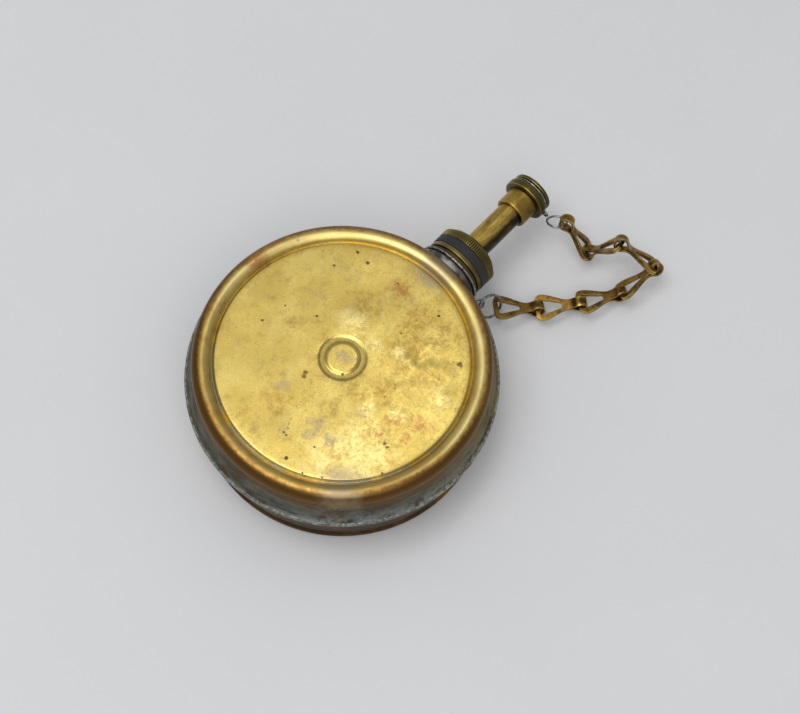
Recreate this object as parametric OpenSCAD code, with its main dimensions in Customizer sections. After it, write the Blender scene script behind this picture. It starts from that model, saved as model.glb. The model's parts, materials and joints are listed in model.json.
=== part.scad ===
// Round flat oil bottle of stamped brass: two dished shells soldered at a flange,
// a screw-in spout with a push-on cap, and a safety chain from the neck to the cap.
// Millimetres. The bottle lies on its back, +Z up, and the spout points along +X.

/* [Shells] */
// Height over the front bead
body_h = 32.5; // [28:0.5:38]
// Radius of the flanges that the solder joins
flange_r = 42.8; // [42:0.1:48]
// Height of the seam between the two shells
seam_z = 20; // [17:0.5:21]
// Thickness of the sheet
sheet_t = 0.8; // [0.5:0.1:1]
// Width of the flanges
flange_w = 0.8; // [0.5:0.1:1.2]
// Width of the solder outside the flanges
solder_w = 0.2; // [0.1:0.1:0.5]
// Radius of the raised beads' section
bead_r = 2.9; // [2.4:0.1:3.1]
// Distance from the flanges' edge in to the circle that the front bead follows
front_bead_in = 5.4; // [5:0.1:6.3]
// Distance from the flanges' edge in to the circle that the back bead follows
back_bead_in = 5.3; // [4.8:0.1:6.3]
// Depth of the flat panels below the beads
panel_drop = 0.9; // [0.6:0.1:1.2]
// Width of the crease between panel and bead
crease_w = 0.5; // [0.4:0.1:0.8]
// Height of the sloped edge of the panels
panel_step = 0.3; // [0.2:0.05:0.5]
// Depth of the flat under the back bead, which the bottle lies on
foot_wear = 0.1; // [0.05:0.05:0.3]

/* [Centre button] */
// Radius of the button in the front panel
button_r = 4.6; // [3:0.1:6]
// Height of the button over the panel
button_h = 0.15; // [0:0.05:0.5]
// Width of the groove round the button
groove_w = 2; // [1.5:0.1:3]
// Depth of the groove round the button
groove_d = 0.4; // [0.2:0.1:0.8]

/* [Neck] */
// Height of the spout's axis
neck_z = 18; // [16:0.5:19]
// Radius of the plated ferrule
ferrule_r = 9.8; // [9.6:0.1:10.4]
// Length of the ferrule outside the flanges' edge
ferrule_out = 0.5; // [0.2:0.1:2.2]
// Length of the ferrule
ferrule_len = 7.5; // [6:0.5:10]
// Radius of the bush inside the ferrule
bush_r = 7.6; // [7.2:0.1:8]
// Radius of the bush's two beads
bush_bead_r = 9.3; // [9:0.1:9.5]
// Width of the groove that holds the neck wire
neck_groove_w = 1; // [1:0.1:1.4]
// Width of the bush's thin bead
thin_bead_w = 0.7; // [0.5:0.1:1]
// Width of the groove between the two beads
bead_gap_w = 0.6; // [0.4:0.1:1]
// Width of the bead at the mouth
mouth_bead_w = 1.3; // [1:0.1:2]
// Radius of the thread's crest
thread_r = 6.3; // [6:0.1:6.6]
// Pitch of the thread
thread_pitch = 1; // [0.8:0.1:1.25]
// Turns of thread on the spout
thread_turns = 6; // [4:1:6]

/* [Spout] */
// Thickness of the leather washer
washer_t = 2.9; // [1.5:0.1:3.5]
// Radius of the washer and of the knurled rim
rim_r = 9.45; // [8.5:0.05:10]
// Width of the knurled rim
rim_w = 2.2; // [1.5:0.1:3]
// Number of knurls on the rim
knurl_count = 88; // [60:1:100]
// Depth of the knurls
knurl_d = 0.25; // [0.1:0.05:0.4]
// Height of the dome between rim and tube
dome_h = 2.2; // [1.5:0.1:3]
// Width of the flat round the tube at the dome's top
dome_flat_w = 0.4; // [0.2:0.1:0.8]
// Outer radius of the tube
tube_r = 3.8; // [3.4:0.1:4.2]
// Wall of the tube
tube_t = 0.7; // [0.5:0.1:0.9]
// Length of tube that shows before the cap
tube_bare = 15.9; // [10:0.1:25]
// Length of tube held in the cap
tube_in_cap = 7.1; // [5:0.1:7.5]
// Depth of tube soldered into the dome
tube_socket = 5; // [3:0.5:6]

/* [Cap] */
// Outer radius of the sleeve
sleeve_r = 4.85; // [4.7:0.05:5.2]
// Length of the sleeve
sleeve_len = 5.8; // [4:0.1:8]
// Radius of the grip flange
grip_r = 6.7; // [6.4:0.1:7]
// Width of the grip flange
grip_w = 2.1; // [1.5:0.1:3]
// Width of the groove that holds the cap wire
cap_groove_w = 1.3; // [1:0.1:1.6]
// Radius of the groove's floor
cap_groove_r = 5.6; // [5.2:0.1:5.7]
// Radius of the end disc
end_r = 6.3; // [6.2:0.1:6.8]
// Thickness of the end disc
end_t = 1.1; // [0.8:0.1:2]
// Bevel of the grip flange's edges, and half of the end disc's
cap_bevel = 0.3; // [0.1:0.05:0.4]
// Thickness of the leather disc in the cap
seal_t = 1; // [0.6:0.1:1.4]

/* [Wire] */
// Radius of the neck wire and its ring
neck_wire_r = 0.4; // [0.3:0.05:0.45]
// Distance from the spout's axis to the neck wire's eye
neck_eye_at = 13.5; // [13:0.1:14]
// Offset of the neck wire's eye along the spout
neck_eye_shift = 2.1; // [1.5:0.1:2.5]
// Angle of the neck wire's eye below the horizontal
neck_eye_angle = 37.4; // [30:0.1:45]
// Radius of the neck wire's eye, to the middle of its wire
neck_eye_r = 1.2; // [1.1:0.05:1.3]
// Radius of the ring at the neck, to the middle of its wire
neck_ring_r = 3.6; // [3.4:0.1:4]
// Distance from the neck ring's centre to the chain's first pivot
neck_ring_slack = 2.1; // [2:0.05:2.3]
// Radius of the cap wire and its ring
cap_wire_r = 0.33; // [0.25:0.01:0.4]
// Distance from the spout's axis to the cap wire's eye
cap_eye_at = 7.3; // [7.1:0.1:7.6]
// Angle of the cap wire's eye below the horizontal
cap_eye_angle = 26; // [20:1:32]
// Radius of the cap wire's eye, to the middle of its wire
cap_eye_r = 0.75; // [0.7:0.05:0.9]
// Radius of the ring at the cap, to the middle of its wire
cap_ring_r = 2.9; // [2.6:0.1:3.2]
// Distance between the middles of the cap wire's eye and of its ring's wire
cap_ring_gap = 0.3; // [0.2:0.05:0.4]
// Offset of the cap's ring along the spout
cap_ring_shift = 0.65; // [0.5:0.05:0.8]
// Width of the split in the rings
ring_split = 0.25; // [0.1:0.05:0.4]

/* [Chain] */
// Distance between two links' pivots
link_pitch = 12.5; // [12:0.1:13]
// Width over a link's eyes
link_w = 7.8; // [7.2:0.1:8.2]
// Width of a link's waist
waist_w = 2.9; // [2.4:0.1:3.2]
// Distance from a link's bar to its waist
waist_at = 9; // [8.8:0.1:10]
// Radius of an eye's corners
eye_corner_r = 1.2; // [0.8:0.1:1.5]
// Thickness of a link's sheet
link_t = 0.5; // [0.4:0.05:0.55]
// Inner radius of a link's fold
fold_r = 1.7; // [1.6:0.05:1.9]
// Radius of the bends where a link's two layers open into its fold
throat_r = 3; // [2:0.1:4]
// Width of the bar across an eye's open end
bar_w = 1; // [0.8:0.05:1.2]
// Width of an eye's rim
eye_rim = 1.5; // [1.2:0.1:1.7]
// Distance from a link's bar to the tip of its hole
hole_tip_at = 8.3; // [7.5:0.1:8.5]
// Width of the hole's tip
hole_tip_w = 0.6; // [0.4:0.1:0.8]
// Radius of the hole's corners
hole_corner_r = 0.6; // [0.4:0.1:0.8]
// Gap between a link's two eyes
eye_gap = 0.16; // [0.14:0.02:0.3]

/* [Fits] */
// Radial clearance of the cap on the tube and of the thread
slide_fit = 0.08; // [0.05:0.01:0.1]
// Radial clearance of the wires in their grooves
wire_fit = 0.2; // [0.1:0.05:0.3]

/* [Hidden] */
$fn = 96;

brass = "#b99a45";
old_brass = "#8a6b2c";
plate = "#7c8583";
steel = "#4a4c4f";
leather = "#23252b";

// Small extra length that lets a cutter run past the solid it cuts
over = 1;

// Points of an arc about c, from angle a0 to a1
function arc(c, r, a0, a1, n = 12) =
    [for (i = [0 : n]) let (a = a0 + (a1 - a0) * i / n) c + r * [cos(a), sin(a)]];
function unit(v) = v / norm(v);
function left_of(v) = [-v[1], v[0]];
// Point i of path p, moved to its left by t with mitred corners
function beside(p, i, t) =
    let (last = len(p) - 1,
         a = unit(i > 0 ? p[i] - p[i - 1] : p[1] - p[0]),
         b = unit(i < last ? p[i + 1] - p[i] : p[last] - p[last - 1]),
         n = unit(left_of(a) + left_of(b)))
    p[i] + t * n / (n * left_of(a));
// Closed outline of a sheet of thickness t that lies to the left of path p
function sheet_outline(p, t) =
    concat(p, [for (i = [len(p) - 1 : -1 : 0]) beside(p, i, t)]);
// Angle of the normal where a line from q touches the circle about c
function touch_angle(c, r, q) = atan2(q[1] - c[1], q[0] - c[0]) + acos(r / norm(q - c));

// Front shell, from its centre to its rim, seen as radius and height
front_panel_z = body_h - panel_drop;
front_bead_z = body_h - bead_r;
front_bead_at = flange_r - front_bead_in;
back_bead_at = flange_r - back_bead_in;
crease_angle = 155;
wall_angle = 35;
wall_foot_r = flange_r - flange_w;
front_panel_r = front_bead_at + bead_r * cos(crease_angle) - crease_w;
back_panel_r = back_bead_at + bead_r * cos(crease_angle) - crease_w;
front_path = concat(
    [[0, front_panel_z + button_h],
     [button_r - groove_d, front_panel_z + button_h],
     [button_r, front_panel_z - groove_d],
     [button_r + groove_w - 2 * groove_d, front_panel_z - groove_d],
     [button_r + groove_w, front_panel_z],
     [front_panel_r - panel_step, front_panel_z],
     [front_panel_r, front_panel_z - panel_step]],
    arc([front_bead_at, front_bead_z], bead_r, crease_angle, -wall_angle),
    [[wall_foot_r, seam_z + sheet_t], [flange_r, seam_z + sheet_t]]);

// Back shell, from its rim to its centre
back_bead_z = bead_r - foot_wear;
foot_angle = asin(back_bead_z / bead_r);
back_path = concat(
    [[flange_r, seam_z - sheet_t], [wall_foot_r, seam_z - sheet_t]],
    arc([back_bead_at, back_bead_z], bead_r, wall_angle, -foot_angle),
    arc([back_bead_at, back_bead_z], bead_r, foot_angle - 180, -crease_angle, 6),
    [[back_panel_r, panel_drop + panel_step],
     [back_panel_r - panel_step, panel_drop],
     [0, panel_drop]]);

// Places along the spout, from the bottle's axis
ferrule_x = flange_r + ferrule_out;
thin_bead_x = ferrule_x + neck_groove_w;
mouth_bead_x = thin_bead_x + thin_bead_w + bead_gap_w;
mouth_x = mouth_bead_x + mouth_bead_w;
rim_x = mouth_x + washer_t;
dome_x = rim_x + rim_w;
dome_end_x = dome_x + dome_h;
cap_x = dome_end_x + tube_bare;
tube_end_x = cap_x + tube_in_cap;
grip_x = cap_x + sleeve_len;
cap_groove_x = grip_x + grip_w;
end_x = cap_groove_x + cap_groove_w;
neck_wire_x = ferrule_x + neck_groove_w / 2;
cap_wire_x = cap_groove_x + cap_groove_w / 2;

neck_wire_at = bush_bead_r - wire_fit + neck_wire_r;
neck_groove_r = neck_wire_at - neck_wire_r - wire_fit;
cap_wire_at = cap_groove_r + wire_fit / 2 + cap_wire_r;
thread_root_r = thread_r - thread_pitch / 2;
cap_bore_r = tube_r + slide_fit;

// A turn is a heading, a rise and a roll, in degrees, and points a piece's own X axis
function along(turn) = [cos(turn[1]) * cos(turn[0]), cos(turn[1]) * sin(turn[0]), sin(turn[1])];
function turn_along(v, roll) = [atan2(v[1], v[0]), asin(v[2] / norm(v)), roll];
// Centre of an eye beside the spout, at the given distance and angle below the horizontal
function eye_place(x, at, angle) = [x, -at * cos(angle), neck_z - at * sin(angle)];

// The neck ring hangs in the neck wire's eye, and the chain's first bar lies in the ring
neck_ring_turn = [-42, -34, -40];
neck_ring_split_at = 100;
neck_eye = eye_place(neck_wire_x + neck_eye_shift, neck_eye_at, neck_eye_angle);
neck_ring_centre = neck_eye + neck_ring_r * along(neck_ring_turn);
chain_start = neck_ring_centre + neck_ring_slack * along(neck_ring_turn);

// The cap ring lies just outside the cap wire's eye, and the chain's last fold holds it
cap_ring_turn = [128, 0, 118];
cap_ring_split_at = 80;
cap_ring_angle = 20;
cap_ring_at = cap_eye_at + cap_eye_r + cap_ring_r + cap_ring_gap;
cap_ring_centre = eye_place(cap_wire_x + cap_ring_shift, cap_ring_at, cap_ring_angle);
chain_end = cap_ring_centre - cap_ring_r * along(cap_ring_turn);

// The first five links lie as given, and the last two sag between them and the cap ring
laid_turns = [
    [-43, -10, -10],
    [-40, 2, 5],
    [-32, 0, -10],
    [-15, 23, -38],
    [105, 22, -146]];
last_rolls = [25, -155];
sag_way = [-0.5, 0.85, -1];
function laid_pivot(i) =
    i == 0 ? chain_start : laid_pivot(i - 1) + link_pitch * along(laid_turns[i - 1]);
laid_end = laid_pivot(len(laid_turns));
span = chain_end - laid_end;
sag = sqrt(pow(link_pitch, 2) - pow(norm(span) / 2, 2));
knee = laid_end + span / 2 + sag * unit(sag_way - (sag_way * unit(span)) * unit(span));
pivots = concat([for (i = [0 : len(laid_turns)]) laid_pivot(i)], [knee, chain_end]);
link_turns = concat(laid_turns,
                    [turn_along(knee - laid_end, last_rolls[0]),
                     turn_along(chain_end - knee, last_rolls[1])]);

// A link's outline from above: wide at the eyes, narrow at the waist
fold_out_r = fold_r + link_t;
eye_corner = [eye_corner_r - bar_w / 2, link_w / 2 - eye_corner_r];
waist_start = [waist_at, waist_w / 2];
link_side = concat(
    arc(eye_corner, eye_corner_r, 180, touch_angle(eye_corner, eye_corner_r, waist_start), 6),
    [waist_start, [link_pitch + fold_out_r + over, waist_w / 2]]);
hole_corner = [bar_w / 2 + hole_corner_r, link_w / 2 - eye_rim - hole_corner_r];
hole_tip = [hole_tip_at, hole_tip_w / 2];
hole_side = concat(
    arc(hole_corner, hole_corner_r, 180, touch_angle(hole_corner, hole_corner_r, hole_tip), 6),
    [hole_tip]);
function mirrored(p) = [for (i = [len(p) - 1 : -1 : 0]) [p[i][0], -p[i][1]]];
function both_sides(p) = concat(p, mirrored(p));

// A link seen from the side: two layers that lie together, and open into a round fold
layer_top = eye_gap / 2 + link_t;
throat = [link_pitch - sqrt(pow(throat_r + fold_out_r, 2) - pow(throat_r + layer_top, 2)),
          throat_r + layer_top];
throat_angle = atan2(throat[1], link_pitch - throat[0]);
layer_path = concat([[-bar_w / 2, layer_top]], arc(throat, throat_r, -90, -throat_angle, 5));
hairpin = sheet_outline(
    concat(layer_path,
           arc([link_pitch, 0], fold_out_r, 180 - throat_angle, throat_angle - 180, 24),
           mirrored(layer_path)),
    -link_t);

// Turns a solid drawn along Z so that it lies along the spout
module along_spout() translate([0, 0, neck_z]) rotate([0, 90, 0]) children();

// The hole for the ferrule, through one side of the walls
module neck_hole() along_spout() translate([0, 0, flange_r / 2]) cylinder(r = ferrule_r, h = flange_r);

module front_shell() {
    color(brass) difference() {
        rotate_extrude() polygon(sheet_outline(front_path, -sheet_t));
        neck_hole();
    }
}

module back_shell() {
    color(old_brass) difference() {
        rotate_extrude() polygon(sheet_outline(back_path, -sheet_t));
        neck_hole();
    }
}

module seam_solder() {
    color("#b9bbb4") difference() {
        rotate_extrude() polygon([
            [flange_r, seam_z - sheet_t],
            [flange_r + solder_w, seam_z - sheet_t / 2],
            [flange_r + solder_w, seam_z + sheet_t / 2],
            [flange_r, seam_z + sheet_t]]);
        neck_hole();
    }
}

module neck_ferrule() {
    shoulder = ferrule_r - neck_groove_r;
    color(plate) along_spout() rotate_extrude() polygon(concat(
        [[bush_r, ferrule_x - ferrule_len], [ferrule_r, ferrule_x - ferrule_len]],
        arc([ferrule_r - shoulder, ferrule_x - shoulder], shoulder, 0, 90, 6),
        [[bush_r, ferrule_x]]));
}

module neck_bush() {
    color(brass) along_spout() rotate_extrude() polygon([
        [thread_r + slide_fit, ferrule_x - ferrule_len],
        [bush_r, ferrule_x - ferrule_len],
        [bush_r, ferrule_x],
        [neck_groove_r, ferrule_x],
        [neck_groove_r, thin_bead_x],
        [bush_bead_r, thin_bead_x],
        [bush_bead_r, thin_bead_x + thin_bead_w],
        [bush_bead_r - thin_bead_w, thin_bead_x + thin_bead_w],
        [bush_bead_r - thin_bead_w, mouth_bead_x],
        [bush_bead_r, mouth_bead_x],
        [bush_bead_r, mouth_x],
        [thread_r + slide_fit, mouth_x]]);
}

module washer() {
    color(leather) along_spout() translate([0, 0, mouth_x]) difference() {
        cylinder(r = rim_r, h = washer_t);
        translate([0, 0, -over]) cylinder(r = thread_r + slide_fit, h = washer_t + 2 * over);
    }
}

// Outline of the knurled rim: two points to each knurl
knurl_outline = [for (i = [0 : 2 * knurl_count - 1])
    let (a = 180 * i / knurl_count, r = rim_r - (i % 2) * knurl_d) r * [cos(a), sin(a)]];

module spout_base() {
    thread_x = rim_x - washer_t - thread_turns * thread_pitch;
    color(old_brass) along_spout() difference() {
        union() {
            translate([0, 0, rim_x]) linear_extrude(rim_w) polygon(knurl_outline);
            rotate_extrude() polygon(concat(
                [[0, thread_x]],
                [for (i = [0 : thread_turns - 1]) each [
                    [thread_root_r, thread_x + i * thread_pitch],
                    [thread_r, thread_x + (i + 0.5) * thread_pitch]]],
                [[thread_root_r, mouth_x], [thread_root_r, dome_x]],
                [for (i = [0 : 8]) let (a = 90 * i / 8)
                    [tube_r + dome_flat_w + (rim_r - knurl_d - tube_r - 2 * dome_flat_w) * cos(a),
                     dome_x + dome_h * sin(a)]],
                [[0, dome_end_x]]));
        }
        translate([0, 0, thread_x - over])
            cylinder(r = tube_r - tube_t, h = dome_end_x - thread_x + 2 * over);
        translate([0, 0, dome_end_x - tube_socket]) cylinder(r = tube_r, h = tube_socket + over);
    }
}

module spout_tube() {
    start_x = dome_end_x - tube_socket;
    color(brass) along_spout() difference() {
        translate([0, 0, start_x]) cylinder(r = tube_r, h = tube_end_x - start_x);
        translate([0, 0, start_x - over])
            cylinder(r = tube_r - tube_t, h = tube_end_x - start_x + 2 * over);
    }
}

module cap() {
    color(old_brass) along_spout() rotate_extrude() polygon([
        [cap_bore_r, cap_x],
        [sleeve_r, cap_x],
        [sleeve_r, grip_x],
        [grip_r - cap_bevel, grip_x],
        [grip_r, grip_x + cap_bevel],
        [grip_r, cap_groove_x - cap_bevel],
        [grip_r - cap_bevel, cap_groove_x],
        [cap_groove_r, cap_groove_x],
        [cap_groove_r, end_x],
        [end_r, end_x],
        [end_r, end_x + end_t - 2 * cap_bevel],
        [end_r - 2 * cap_bevel, end_x + end_t],
        [0, end_x + end_t],
        [0, tube_end_x + seal_t],
        [cap_bore_r, tube_end_x + seal_t]]);
}

module cap_seal() {
    color("#6b4a2a") along_spout() translate([0, 0, tube_end_x]) cylinder(r = cap_bore_r, h = seal_t);
}

// One turn of round wire in the XZ plane, split at the angle given
module wire_ring(ring_r, wire_r, split_at) {
    rotate([90, 0, 0]) difference() {
        rotate_extrude() translate([ring_r, 0]) circle(wire_r, $fn = 24);
        rotate([0, 0, split_at]) translate([ring_r, 0, 0]) cube([4 * wire_r, ring_split, 4 * wire_r], center = true);
    }
}

// A wire round a groove, whose twisted ends carry an eye at the given place
module wire_collar(x, collar_at, wire_r, eye_at, eye_angle, eye_shift, eye_r, eye_turn) {
    along_spout() translate([0, 0, x]) rotate_extrude() translate([collar_at, 0]) circle(wire_r, $fn = 24);
    tail_at = collar_at + 0.7 * wire_r;
    tail = [eye_shift, tail_at - eye_at];
    translate([x, 0, neck_z]) rotate([eye_angle, 0, 0]) translate([0, -tail_at, 0])
        rotate([0, 0, atan2(tail[1], tail[0])]) rotate([0, 90, 0])
            cylinder(r = 1.3 * wire_r, h = norm(tail) - eye_r, $fn = 24);
    translate([x + eye_shift, 0, neck_z]) rotate([eye_angle, 0, 0]) translate([0, -eye_at, 0])
        rotate([-eye_angle, 0, 0]) turned(eye_turn)
            rotate_extrude() translate([eye_r, 0]) circle(wire_r, $fn = 24);
}

module turned(turn) rotate([turn[2], -turn[1], turn[0]]) children();

module neck_wire() {
    color(steel) wire_collar(neck_wire_x, neck_wire_at, neck_wire_r, neck_eye_at, neck_eye_angle,
                             neck_eye_shift, neck_eye_r, neck_ring_turn);
}

module neck_ring() {
    color(steel) translate(neck_ring_centre) turned(neck_ring_turn)
        wire_ring(neck_ring_r, neck_wire_r, neck_ring_split_at);
}

module cap_wire() {
    color(steel) wire_collar(cap_wire_x, cap_wire_at, cap_wire_r, cap_eye_at, cap_eye_angle,
                             0, cap_eye_r, [0, 90, 0]);
}

module cap_ring() {
    color(steel) translate(cap_ring_centre) turned(cap_ring_turn)
        wire_ring(cap_ring_r, cap_wire_r, cap_ring_split_at);
}

module link(i) {
    color(old_brass) translate(pivots[i]) turned(link_turns[i]) intersection() {
        rotate([90, 0, 0]) linear_extrude(2 * link_w, center = true) polygon(hairpin);
        linear_extrude(4 * fold_out_r, center = true) difference() {
            polygon(both_sides(link_side));
            polygon(both_sides(hole_side));
        }
    }
}

front_shell();
back_shell();
seam_solder();
neck_ferrule();
neck_bush();
washer();
spout_base();
spout_tube();
cap();
cap_seal();
cap_wire();
neck_wire();
neck_ring();
link(0);  // link_1
link(1);  // link_2
link(2);  // link_3
link(3);  // link_4
link(4);  // link_5
link(5);  // link_6
link(6);  // link_7
cap_ring();
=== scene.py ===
import json
from math import atan2, cos, degrees, hypot, pi, radians, sin, tau

import bmesh
import bpy
from bpy.props import FloatProperty, FloatVectorProperty, IntProperty, PointerProperty
from mathutils import Matrix, Vector


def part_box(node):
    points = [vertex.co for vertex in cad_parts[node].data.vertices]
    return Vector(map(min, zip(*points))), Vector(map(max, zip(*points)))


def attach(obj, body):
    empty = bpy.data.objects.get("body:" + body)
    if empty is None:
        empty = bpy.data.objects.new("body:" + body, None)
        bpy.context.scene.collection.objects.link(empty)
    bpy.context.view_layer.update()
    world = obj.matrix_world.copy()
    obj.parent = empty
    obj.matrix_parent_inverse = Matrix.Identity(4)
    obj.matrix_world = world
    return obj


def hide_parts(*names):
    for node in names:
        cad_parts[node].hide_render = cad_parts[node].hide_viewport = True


bl_info = {
    "name": "Oil bottle",
    "version": (1, 0, 0),
    "blender": (4, 5, 0),
    "location": "View3D > Sidebar > Oil bottle",
    "description": "Dresses a packed oil bottle with pressed, turned and bent pieces of old brass",
    "category": "Object",
}

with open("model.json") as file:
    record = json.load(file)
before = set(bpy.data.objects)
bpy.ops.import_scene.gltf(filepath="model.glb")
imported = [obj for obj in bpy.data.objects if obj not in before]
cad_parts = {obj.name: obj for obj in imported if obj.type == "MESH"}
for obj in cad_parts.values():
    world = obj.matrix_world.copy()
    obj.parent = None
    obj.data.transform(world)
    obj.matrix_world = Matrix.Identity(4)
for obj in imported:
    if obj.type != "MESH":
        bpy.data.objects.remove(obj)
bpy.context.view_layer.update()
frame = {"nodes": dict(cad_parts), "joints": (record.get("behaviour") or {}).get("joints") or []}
JOINTS = {joint["child"]: joint for joint in frame["joints"]}

MM = 0.001
SPOUT_AXIS_Z = JOINTS["spout"]["pos_m"][2]
MERGE = 0.001 * MM


def reach(node, axis):
    """Highest coordinate of a CAD node along X, Y or Z."""
    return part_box(node)[1]["XYZ".index(axis)]


def start(node, axis):
    """Lowest coordinate of a CAD node along X, Y or Z."""
    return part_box(node)[0]["XYZ".index(axis)]


# Sizes and colours that a user would change

def length(name, description, mm):
    return FloatProperty(name=name, description=description, default=mm * MM, min=0, unit="LENGTH", precision=5)


def count(name, description, number):
    return IntProperty(name=name, description=description, default=number, min=3)


def turn_of(name, description, value):
    return FloatProperty(name=name, description=description, default=radians(value), subtype="ANGLE")


def colour(name, description, red, green, blue):
    linear = [((c / 255 + 0.055) / 1.055) ** 2.4 for c in (red, green, blue)]
    return FloatVectorProperty(name=name, description=description, default=(*linear, 1), size=4,
                               min=0, max=1, subtype="COLOR")


class ShellSizes(bpy.types.PropertyGroup):
    sheet: length("Sheet", "Thickness of the pressed sheet", 0.8)
    flange: length("Flange", "Width of the flange at the seam", 0.8)
    bead: length("Bead", "Radius of the raised beads' section", 2.9)
    front_bead_inset: length("Front bead inset", "From the flange's edge to the front bead's circle", 5.4)
    back_bead_inset: length("Back bead inset", "From the flange's edge to the back bead's circle", 5.3)
    panel_drop: length("Panel drop", "Depth of the panels below the beads", 0.9)
    panel_step: length("Panel step", "Height of the sloped edge of the panels", 0.3)
    crease: length("Crease", "Width of the crease between panel and bead", 0.5)
    foot_wear: length("Foot wear", "Depth worn off the back bead", 0.1)
    button: length("Button", "Radius of the button in the front panel", 4.6)
    button_height: length("Button height", "Height of the button over the panel", 0.1)
    groove: length("Groove", "Width of the groove round the button", 2)
    groove_depth: length("Groove depth", "Depth of the groove round the button", 0.26)
    solder: length("Solder", "Height of the solder along the seam", 1.7)
    steps: count("Steps", "Steps round the shells", 256)


class SpoutSizes(bpy.types.PropertyGroup):
    wire_groove: length("Wire groove", "Width of the groove that holds the neck wire", 1)
    wire_groove_radius: length("Wire groove radius", "Radius of the floor of the neck wire's groove", 8.9)
    bush: length("Bush", "Radius of the bush inside the ferrule", 7.6)
    thin_bead: length("Thin bead", "Width of the bush's thin bead", 0.7)
    bead_gap: length("Bead gap", "Width of the groove between the bush's beads", 0.6)
    bore: length("Bore", "Radius of the thread's bore in bush and washer", 6.38)
    rim: length("Rim", "Width of the knurled rim", 2.2)
    knurl: length("Knurl", "Depth of the knurls", 0.25)
    knurls: count("Knurls", "Number of knurls on the rim", 88)
    thread: length("Thread", "Radius of the thread's crest", 6.3)
    pitch: length("Pitch", "Pitch of the thread", 1)
    wall: length("Wall", "Wall of the tube", 0.7)
    socket: length("Socket", "Depth of tube soldered into the dome", 5)
    steps: count("Steps", "Steps round the turned pieces", 144)


class CapSizes(bpy.types.PropertyGroup):
    sleeve: length("Sleeve", "Outer radius of the sleeve", 4.85)
    bore: length("Bore", "Radius of the bore", 3.88)
    grip: length("Grip", "Width of the grip flange", 2.1)
    groove: length("Groove", "Width of the groove that holds the wire", 1.3)
    groove_radius: length("Groove radius", "Radius of the groove's floor", 5.6)
    disc: length("Disc", "Radius of the end disc", 6.3)
    disc_thickness: length("Disc thickness", "Thickness of the end disc", 1.1)


class ChainSizes(bpy.types.PropertyGroup):
    pitch: length("Pitch", "Distance between two links' pivots", 12.5)
    sheet: length("Sheet", "Thickness of a link's sheet", 0.5)
    width: length("Width", "Width over a link's eyes", 7.8)
    waist: length("Waist", "Width of a link's waist", 2.9)
    waist_at: length("Waist place", "From the bar to where the waist starts", 9.6)
    corner: length("Corner", "Radius of an eye's outer corner", 1.8)
    start: length("Start", "From a link's pivot back to its eyes' ends", 0.5)
    bar: length("Bar", "Width of the bar across an eye's open end", 1.15)
    rim: length("Rim", "Width of an eye's rim", 1.5)
    hole_corner: length("Hole corner", "Radius of the hole's corners", 0.7)
    hole_tip: length("Hole tip", "From the bar to the hole's tip", 7.4)
    tip_width: length("Tip width", "Width of the hole's tip", 1.6)
    fold: length("Fold", "Inner radius of the fold", 1.7)
    throat: length("Throat", "Radius of the bends where the layers open into the fold", 3)
    gap: length("Gap", "Gap between a link's two eyes", 0.16)
    edge: length("Edge", "Rounding of the sheet's edges", 0.19)
    wire: length("Wire", "Radius of the neck wire", 0.4)
    eye: length("Eye", "Radius of the neck wire's eye", 1.2)
    collar: length("Collar", "Radius of the neck wire's turn round the bush", 9.5)


class Colours(bpy.types.PropertyGroup):
    brass: colour("Brass", "Yellow brass of the front", 204, 178, 94)
    # Pale rubbed brass, also laid on the panel as a painted highlight.
    pale_brass_and_highlight: colour("Pale brass", "Brass rubbed bright", 234, 216, 150)
    gold: colour("Gold", "Cleaner brass", 216, 192, 108)
    tarnish: colour("Tarnish", "Brown tarnish on the brass", 158, 124, 58)
    copper: colour("Copper", "Reddish tarnish", 170, 108, 62)
    groove: colour("Groove", "Dull olive in the groove round the button", 142, 124, 70)
    smoke: colour("Smoke", "Purple-grey tarnish", 158, 142, 112)
    pit: colour("Pit", "Pits and specks", 82, 58, 28)
    edge_brown: colour("Edge brown", "Outer shoulder of the bead", 98, 70, 34)
    crevice: colour("Crevice", "Grey dirt in the crease", 150, 148, 132)
    wall_dark: colour("Wall dark", "Dark patina on the walls", 66, 66, 56)
    patina: colour("Patina", "Grey patina on the walls", 105, 104, 93)
    residue: colour("Residue", "Pale blue residue above the seam", 148, 162, 161)
    # Its dark tone is painted shade: the back's brass as it looks in shade.
    back_brass: colour("Back brass", "Dark brass of the back", 72, 52, 27)
    solder: colour("Solder", "Solder along the seam", 176, 180, 174)
    plate: colour("Plate", "Dull plating of the ferrule", 84, 90, 90)
    bush: colour("Bush", "Brass of the bush", 128, 115, 74)
    # Oil and grime in grooves. The same colour is also laid on as painted shade under the spout's round pieces and
    # below the seam.
    dirt_and_shade: colour("Dirt", "Oil and dirt in grooves", 34, 31, 24)
    leather: colour("Leather", "Blue-black washer", 24, 28, 40)
    seal: colour("Seal", "Tan leather in the cap", 112, 78, 44)
    tube: colour("Tube", "Golden brass of the tube", 172, 136, 66)
    cap: colour("Cap", "Brass of the cap's sleeve", 178, 146, 70)
    olive: colour("Olive", "Dark olive of the cap's flanges", 88, 84, 48)
    wire: colour("Wire", "Old steel wire", 158, 158, 156)
    chain: colour("Chain", "Golden brown of the links", 152, 116, 56)
    chain_dark: colour("Chain dark", "Dirt between the links", 76, 54, 27)
    floor: colour("Floor", "Paper that the bottle lies on", 213, 214, 216)


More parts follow.
